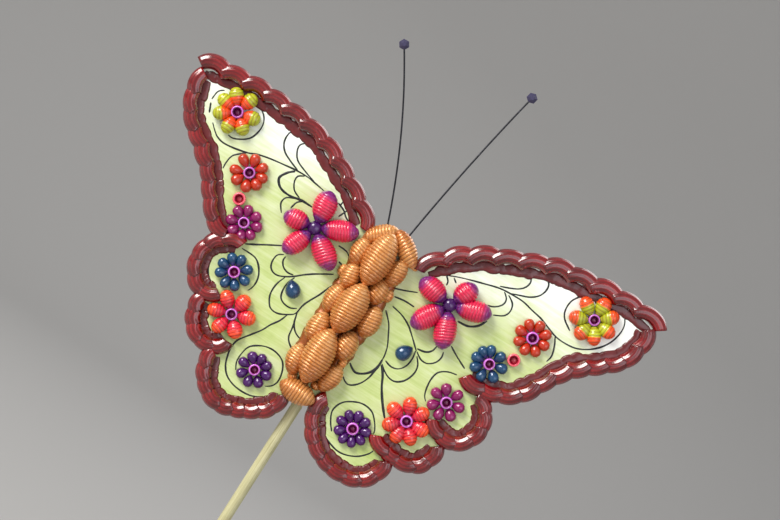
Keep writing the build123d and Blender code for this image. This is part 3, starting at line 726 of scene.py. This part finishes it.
# ---- the small flowers, rings, loose rings and drops
flowerLook = {"petalStart": 2.2, "bed": 0.30, "ringR": 2.65, "ringHole": 1.55, "ringHeight": 3.6,
              "ribbedFrom": 5, "ringProud": 0.1, "wellWidth": 3.8, "wellHeight": 2.6}
looseLook = {"ringR": 2.95, "ringHole": 1.7, "ringHeight": 3.0, "wellWidth": 4.4, "wellHeight": 3.4}
dropLook = {"length": 8.6, "width": 6.8, "proud": 1.8}
flowers = {         # centre, petal tip radius, petal width, petal directions
    "left": {
        "lime": ((-91.1, 51.3), 11.0, 6.8, (9, 73, 126, 170, 216, 269, 320), "limeOrangePaint"),
        "orange": ((-72.5, 31.6), 9.0, 4.9, (97, 51, 10, -27, -70, -119, -160, 145), "orangePaint"),
        "magenta": ((-62.4, 11.8), 8.5, 4.7, (105, 60, 15, -30, -72, -118, -163, 150), "magentaPaint"),
        "blue": ((-54.7, -8.7), 8.7, 4.7, (90, 41, -7, -55, -98, -146, 174, 130), "bluePaint"),
        "crimson": ((-45.6, -24.9), 11.1, 6.8, (77, 19, -46, -105, -163, 138), "crimsonPaint"),
        "violet": ((-24.1, -40.2), 8.4, 4.6, (88, 50, 8, -40, -86, -135, 176, 130), "violetPaint")},
    "right": {
        "lime": ((89.9, 58.3), 11.4, 6.8, (89, 40, -8, -58, -103, -156, 148), "orangeLimePaint"),
        "orange": ((71.3, 37.2), 8.8, 4.8, (90, 45, 0, -45, -90, -135, 180, 135), "orangePaint"),
        "blue": ((61.3, 17.2), 8.8, 4.8, (112, 63, 14, -38, -90, -137, -178, 146), "bluePaint"),
        "magenta": ((54.6, -7.1), 8.8, 4.9, (167, 121, 65, 12, -39, -90, -140), "magentaPaint"),
        "crimson": ((44.3, -23.3), 11.1, 6.6, (110, 58, 3, -45, -91, -138, 168), "crimsonPaint"),
        "violet": ((26.2, -38.7), 8.7, 4.4, (97, 137, 177, -142, -103, -63, -24, 16, 57), "violetPaint")}}


def ringShape(name, outer, hole, height):
    # a short tube with a rolled rim; along runs from the hole's foot to the rim and down outside
    def pointAt(i, j):
        ring = 2 * math.pi * j
        wall = (outer - hole) / 2
        turn = 2 * math.pi * i
        r = (outer + hole) / 2 - wall * math.cos(turn)
        up = height / 2 + (height / 2) * math.copysign(abs(math.sin(turn)) ** 0.45, math.sin(turn))
        inside = 0.0 if math.cos(turn) > 0.25 or math.sin(turn) < -0.2 and math.cos(turn) > -0.3 else 1.0
        return (r * math.cos(ring), r * math.sin(ring), up), inside, 1.0

    return gridMesh(name, 20, 24, pointAt, closedRows=True)


def wellSize(look):
    # the paint that fills a ring's middle: across, across and up
    return look["wellWidth"] * mm, look["wellWidth"] * mm, look["wellHeight"] * mm


petalShapes = {
    "grain": shell("grainShape", "orangePaint", {
        "length": 1.0, "width": 1.0, "ribs": 0.0, "groove": 0.0, "lean": 1.5, "blunt": 0.6, "rings": 12,
        "sides": 12}, (0, 0, 0), (0, 0, 0)),
    "ribbed": shell("ribbedShape", "orangePaint", {
        "length": 1.0, "width": 1.0, "ribs": 6.0, "groove": 0.05, "lean": 1.25, "blunt": 0.6, "rings": 37,
        "sides": 16}, (0, 0, 0), (0, 0, 0))}
ring = ringShape("ringShape", flowerLook["ringR"], flowerLook["ringHole"], flowerLook["ringHeight"])
well = shell("wellShape", "magentaPaint", {
    "length": 1.0, "width": 1.0, "ribs": 0.0, "groove": 0.0, "rings": 12, "sides": 20},
    (0, 0, 0), (0, 0, 0))
looseRing = ringShape("looseShape", looseLook["ringR"], looseLook["ringHole"], looseLook["ringHeight"])
for hand, blooms in flowers.items():
    centres = []
    for name, (centre, tipR, width, directions, paint) in blooms.items():
        rng = random.Random(hand + name)
        big = width > flowerLook["ribbedFrom"]
        length = tipR - flowerLook["petalStart"]
        places = []
        for direction in directions:
            middle = flowerLook["petalStart"] + length / 2
            angle = math.radians(direction)
            scale = rng.uniform(0.94, 1.05)
            place = onCard(centre[0] + middle * math.cos(angle), centre[1] + middle * math.sin(angle),
                           flowerLook["bed"] * width)
            places.append((place, turnOnCard(direction + rng.uniform(-3, 3), rng.uniform(-9, -3)),
                           (length * mm, width * mm * scale, width * mm * rng.uniform(0.85, 0.98))))
        petal = petalShapes["ribbed" if big else "grain"]
        petals = layPieces(f"{hand}-{name}-flower", petal, paint, places)
        finishPiece(petals, "root", [f"{hand}_{name}_flower"])
        wobble = rng.uniform(0.95, 1.08)
        centres.append((onCard(*centre, flowerLook["ringProud"]),
                        turnOnCard(rng.uniform(0, 360), rng.uniform(-5, 5)),
                        (mm * wobble, mm * wobble, mm)))
    rings = layPieces(f"{hand}-flower-rings", ring, "lilacPaint", centres)
    finishPiece(rings, "root", [f"{hand}_flower_rings"])
    wells = layPieces(f"{hand}-ring-wells", well, "magentaPaint", [
        (place, turnOnCard(0), wellSize(flowerLook)) for place, turn, size in centres])
    finishPiece(wells, "root", [])
looseRings = {"left": (-70.0, 19.6), "right": (69.6, 24.6)}
drops = {"left": ((-28.9, -1.2), 133.0), "right": ((27.3, 1.7), 62.0)}      # middle, direction of its point
for hand, place in looseRings.items():
    loose = layPieces(f"{hand}-loose-ring", looseRing, "redRingPaint", [
        (onCard(*place, 0.0), turnOnCard(20), (mm, mm, mm))])
    finishPiece(loose, "root", [f"{hand}_loose_ring"])
    fill = layPieces(f"{hand}-loose-well", well, "redRingPaint", [
        (onCard(*place), turnOnCard(0), wellSize(looseLook))])
    finishPiece(fill, "root", [])
    (x, z), direction = drops[hand]
    drop = shell(f"{hand}-drop", "bluePaint", {
        "length": dropLook["length"] * mm, "width": dropLook["width"] * mm, "ribs": 0.0, "groove": 0.0,
        "lean": 1.35, "blunt": 0.6, "rings": 32, "sides": 28},
        onCard(x, z, dropLook["proud"]), turnOnCard(direction + 180))
    finishPiece(drop, "root", [f"{hand}_drop"])
for shape in (*petalShapes.values(), ring, looseRing, well):
    bpy.data.objects.remove(shape)
print("small flowers")

# ---- the big flowers
bigLook = {"petalStart": 2.4, "ribPitch": 1.35, "groove": 0.06, "slant": 0.05, "bed": 0.36,
           "centreSize": 6.4, "centreProud": 3.4}
bigFlowers = {      # centre, then each petal's tip and width
    "left": ((-35.1, 26.6), (((-37.3, 44.2), 11.0), ((-17.4, 35.2), 10.0), ((-19.0, 14.6), 10.6),
                             ((-41.0, 10.2), 9.6), ((-49.9, 24.8), 9.2))),
    "right": ((32.8, 29.8), (((16.0, 32.9), 10.6), ((38.3, 43.5), 10.0), ((50.9, 36.0), 10.0),
                             ((40.5, 11.6), 10.4), ((23.0, 13.1), 10.2)))}
for hand, (centre, tips) in bigFlowers.items():
    petals = []
    for i, (tip, width) in enumerate(tips):
        reach = math.dist(centre, tip)
        start = bigLook["petalStart"]
        middle = (reach + start) / 2 / reach
        x, z = (c + (t - c) * middle for c, t in zip(centre, tip))
        direction = math.degrees(math.atan2(tip[1] - centre[1], tip[0] - centre[0]))
        ribs = round((reach - start) / bigLook["ribPitch"])
        petals.append(shell(f"{hand}-big-petal-{i + 1}", "crimsonVioletPaint", {
            "length": (reach - start) * mm, "width": width * mm, "ribs": float(ribs),
            "groove": bigLook["groove"], "lean": 1.12, "blunt": 0.62, "rings": ribs * 6 + 1, "sides": 36,
            "slant": bigLook["slant"] * (-1) ** i},
            onCard(x, z, bigLook["bed"] * width), turnOnCard(direction)))
    for petal in petals:
        finishPiece(petal, "root", [f"{hand}_big_flower"])
    bead = shell(f"{hand}-big-flower-centre", "violetPaint", {
        "length": bigLook["centreSize"] * mm, "width": bigLook["centreSize"] * mm, "ribs": 0.0,
        "groove": 0.0, "blunt": 0.5, "rings": 24, "sides": 28},
        onCard(*centre, bigLook["centreProud"]), turnOnCard(0))
    finishPiece(bead, "root", [f"{hand}_big_flower_centre"])
print("big flowers")

# ---- inked lines, the painted border and the bed of paint under the body
inkWidth = {"pen": 0.72, "thick": 1.1, "bar": 0.8}      # mm
inkLook = {"width": inkWidth["pen"], "flat": 0.3, "proud": 0.02, "seed": 3.0}
penLines = {        # each a line of points on the card; a name after the points picks another width
    "left": (
        ((-84.1, 58.6), (-80.9, 56.4), (-79.1, 53.6), (-78.7, 50), (-79.8, 45.7), (-82.3, 42.9),
         (-86.6, 40.6), (-89.4, 40.7)),
        ((-101.2, 56.4), (-103.4, 54.3), (-103.9, 50)), ((-103.4, 48.6), (-101.6, 44.5)),
        ((-98, 41.6), (-95.5, 39.3), (-93, 37.5), (-89.4, 36.6), (-84.4, 37.1), (-78, 38.6), (-73.7, 40.4),
         (-68, 41.8), (-60.9, 42.9), (-55.9, 43.6), (-50, 43.8), (-45, 43.2), (-39.8, 42.4)),
        ((-83.4, 27.1), (-83.6, 30), (-83, 33.6), (-80.9, 36.1), (-78, 38.6)),
        ((-65.1, 58.4), (-67.1, 55.7), (-66.9, 51.4), (-64.4, 47.9), (-60.1, 45.7), (-55.1, 43.9)),
        ((-58, 56.4), (-60.3, 53.9), (-59.8, 50.7), (-57.3, 47.5), (-52.3, 45.4), (-46.6, 43.7)),
        ((-55.9, 43), (-58.4, 40.7), (-60.3, 37.1), (-58.7, 34.3), (-55.9, 32.9), (-51.6, 32.7),
         (-46.6, 33.7), (-40.5, 33.7), "thick"),
        ((-51.2, 43.4), (-53.7, 41.8), (-53.7, 38.9), (-51.6, 35.7), (-48, 34.1)),
        ((-49.4, 32.9), (-53, 31.1), (-53.7, 27.9), (-51.2, 24.3)),
        ((-45.9, 33.6), (-48, 31.8), (-48.9, 28.2)),
        ((-32.3, 41.4), (-28.7, 40), (-26.2, 37.9), (-23.7, 36.8), "bar"), ((-30.7, 43.9), (-31.2, 40.7)),
        ((-26.9, 41.8), (-29.1, 36.4)), ((-22.3, 25.7), (-18, 25.4), (-15.1, 23.6)),
        ((-18.4, 19.8), (-16.2, 19.3), "bar"),
        ((-57.4, 4.2), (-53.8, 6.2), (-49.3, 8.9), (-44.9, 11.4), (-43, 12.5)),
        ((-57.4, 1.9), (-51, 1.7), (-47.7, -0.2), (-45.2, -3.6), (-44.2, -6.9), (-44.4, -10.2),
         (-45.3, -12.3)),
        ((-66.1, -9.7), (-65.7, -12.4), (-64.1, -15.2), (-61.8, -17.4), (-58.8, -18.6)),
        ((-40.4, 9.5), (-42.7, 7.8), (-43.2, 4.8), (-42.4, 2), (-40.4, 0.4), (-37.7, 0.3), (-34.6, 1.7),
         (-31.6, 3.7), (-28.8, 6.2), (-26, 8.4), (-23.2, 10.3), (-17.3, 13.9), "bar"),
        ((-39.3, 9.2), (-39.3, 7), (-37.7, 4.8), (-34.9, 3.7), (-32.1, 4.1)),
        ((-34.6, 1.4), (-36, -2.4), (-36.4, -6.3), (-35.7, -9.7), (-33.5, -13), (-31, -14), (-28.2, -13.6),
         (-24.9, -11.9), (-22.4, -9.9), (-21.8, -6.9)),
        ((-31, 3.4), (-32.4, -0.2), (-32.4, -4.1), (-31.3, -7.2), (-28.8, -8.7), (-25.4, -8.8),
         (-22.9, -7.4)),
        ((-14.6, 10.1), (-16, 7.6), (-17.7, 3.1), (-19.9, -1.3), (-21.3, -4.7), (-21.8, -8.6),
         (-21.3, -10.8), (-20.4, -13.6), (-18.2, -16.3), (-15.4, -17.7), (-12.4, -18), "bar"),
        ((-20.7, -12.4), (-19.9, -16.3), (-19.3, -19.7), (-17.7, -21.9), (-15.3, -23.6)),
        ((-24.9, -11.9), (-26.3, -15.8), (-28.8, -19.7), (-30.7, -23.6), (-33.8, -28), (-36.6, -31.9),
         (-37.7, -34.1), (-38.1, -37.4), (-37.4, -41.3), (-36, -45.2), (-33.2, -48.6), (-29.3, -50.5),
         (-24.9, -51.2), (-20.4, -50.9), (-17.1, -49.7), (-12.4, -47), "bar"),
        ((-31, -44.7), (-32.7, -41.3), (-32.7, -36.9), (-31.6, -33), (-28.2, -30.2), (-24.3, -28.7),
         (-20.4, -28.6), (-16.6, -29.9), (-14.3, -32.4), (-12.9, -36.3), (-12.8, -39.7), (-14.1, -42.2),
         (-16.3, -43.8))),
    "right": (
        ((81.7, 66), (79, 63.3), (77.1, 59.8), (77.1, 55.2), (79, 51.8), (83.6, 48.7)),
        ((100.2, 67.5), (102.5, 63.7), (102.8, 59.1), (101.3, 53.7), (98.2, 49.1), (94, 45.6), (89.4, 43.5),
         (84, 42.9), (79.4, 43.3), (74.8, 44.8), (70.2, 46.4), (64.8, 47.4), (59.4, 48.5), (54, 48.5),
         (49.4, 48.2), (45.5, 47.4), (40.9, 46), (34.8, 44.1), (29.4, 42.2), (24.4, 40)),
        ((79.4, 43.3), (81.3, 39.8), (82.8, 35.2), (82.2, 31.8)),
        ((55.2, 60.6), (57.5, 57.9), (57.1, 54.8), (54.8, 52.2), (50.9, 50.2), (47.1, 48.7)),
        ((62.1, 63.1), (64.8, 61), (65.3, 57.9), (64, 54.5), (60.9, 51.8), (57.1, 50.2), (53.2, 48.7)),
        ((50.2, 47.7), (52.5, 45.6), (52.7, 42.9), (50.5, 40.2), (47.1, 38.7), (40.9, 37.5)),
        ((52.5, 47.5), (55.9, 45.2), (56.9, 41.8), (55.5, 38.7), (51.3, 36.4)),
        ((24.8, 40.2), (26.7, 38.3), (27.1, 36.4)), ((28.2, 41), (30.2, 39.5)),
        ((50.5, 32.9), (48.6, 29.1), (44.8, 26.4), (39.8, 25.8), "thick"),
        ((8.2, 22.9), (13.2, 24.8), (18.2, 27)), ((10.5, 20), (15.5, 20.8), (20.3, 20.8)),
        ((12.1, 16), (17.5, 14.9), (22.3, 12.7), (26.2, 9.6), (29.6, 6.6), (31.5, 4.9)),
        ((10.5, 12.9), (14.6, 8.8), (17.3, 4.3), (19.6, -0.1), (20.7, -4), (20.9, -6.2)),
        ((43.2, 15.1), (47.1, 12.9), (50.2, 11.4), (53.6, 9.8)),
        ((38, 11.6), (37.3, 8.8), (35.1, 6.8), (31.2, 6)),
        ((41.8, 11), (42.3, 8.2), (41.2, 5.2), (38.4, 2.9), (35.1, 2.9), (31.8, 4.9)),
        ((31.2, 4.9), (31.8, 1), (31.2, -2.9), (29, -5.9), (25.7, -6.8), (22.3, -5.9)),
        ((32.9, 3.2), (35.4, -0.1), (35.9, -4), (34.3, -8.4), (31.2, -11.2), (27.9, -11.5), (24.6, -10.1),
         (21.8, -7.9)),
        ((20.9, -6.2), (20.9, -10.1), (19.6, -13.4), (16.8, -16.2), (13.4, -17.3), (9.6, -15.1), "thick"),
        ((20.9, -10.7), (20.1, -16.2), (17.9, -20.7), (14.6, -23.4), (11.8, -22.9), (8.4, -20.1)),
        ((21.8, -8.4), (24.6, -11.8), (27.3, -16.8), (31.2, -22.3), (35.7, -27.6), "thick"),
        ((52.1, 5.7), (47.9, 4.6), (44.6, 2.1), (43.6, -1.8), (44, -6.2), (45.1, -9.6), (46.8, -11.5)),
        ((19, -44.8), (16.2, -41.2), (14.4, -36.8), (15.7, -32.3), (19, -29.3), (24, -27.3), (29, -27.9),
         (32.3, -30.7), (34.6, -34), (35.1, -35.9)),
        ((17.3, -47.9), (21.2, -49.6), (25.7, -50.7), (30.1, -50.1), (34.6, -47.9), (37.9, -44.6),
         (39, -42.3)))}


def drawLines(name, lines, material, look):
    # every line of points as one mesh of strokes; weight thickens a stroke
    points, edges, weights = [], [], []
    for line in lines:
        weight = inkWidth[line[-1]] / inkWidth["pen"] if isinstance(line[-1], str) else 1.0
        spots = [spot for spot in line if not isinstance(spot, str)]
        edges += [(len(points) + i, len(points) + i + 1) for i in range(len(spots) - 1)]
        points += [(x * mm, 0, bodyZ + z * mm) for x, z in spots]
        weights += [weight] * len(spots)
    base = pointsObject(name + "Base", points, edges, {"weight": ("FLOAT", weights)})
    return runTree(base, trees["stroke"], {
        "width": look["width"] * mm, "flat": look["flat"], "place": (0, cardFront - look["proud"] * mm, 0),
        "seed": look["seed"], "finish": finish[material]}, name)


for hand, lines in penLines.items():
    ink = drawLines(f"{hand}-ink-lines", lines, "paintPenInk", inkLook)
    finishPiece(ink, "root", [])
border = {"width": 4.6, "flat": 0.16, "proud": 0.0, "seed": 8.0, "inside": 2.5, "wander": (-0.35, 0.45),
          "spotsPerElbow": 6}       # mm; the red painted margin beside the edging
for hand, runs in rims.items():
    margins = []
    for run, (points, count, bow) in runs.items():
        line = evenPlaces(smoothLine([(x, z, 0) for x, z in points]), count * border["spotsPerElbow"])
        rng = random.Random(run + hand)
        side = -1 if hand == "right" else 1
        margin = []
        for i in range(1, len(line) - 1):
            along = (line[i + 1] - line[i - 1]).normalized()
            inwards = Vector((-along.y, along.x, 0)) * side
            spot = line[i] + inwards * (border["inside"] + rng.uniform(*border["wander"]))
            margin.append((spot.x, spot.y))
        margins.append(tuple(margin))
    margin = drawLines(f"{hand}-painted-margin", margins, "redMarginPaint", border)
    finishPiece(margin, "root", [])
bedLook = {"width": 7.6, "flat": 0.5, "proud": 0.0, "seed": 5.0}    # mm; paint and glue between the beads
bedLines = (((-3.6, 41.0), (-3.8, 30), (-3.2, 15), (-2.6, 0), (-3.2, -15), (-3.4, -34)),
            ((-12.2, 33.0), (-11.6, 18), (-11.6, 4), (-11.2, -12), (-10.4, -30)),
            ((6.0, 34.0), (5.0, 18), (6.4, 4), (5.2, -12), (5.2, -30)))
bed = drawLines("body-paint-bed", bedLines, "goldPearlPaint", bedLook)
finishPiece(bed, "root", [])
print("ink, border and bed")

# ---- finishes of the pieces that keep their own shape
keptPieces = {"stick": "sandedBirch", "stick_glue": "hotMeltGlue", "left_wing_panel": "pearlCardPaint",
              "right_wing_panel": "pearlCardPaint", "left_antenna_wire": "annealedWire",
              "right_antenna_wire": "annealedWire", "left_antenna_tip": "greyVioletPaint",
              "right_antenna_tip": "greyVioletPaint"}
for node, material in keptPieces.items():
    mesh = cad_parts[node].data
    mesh.materials.clear()
    mesh.materials.append(finish[material])
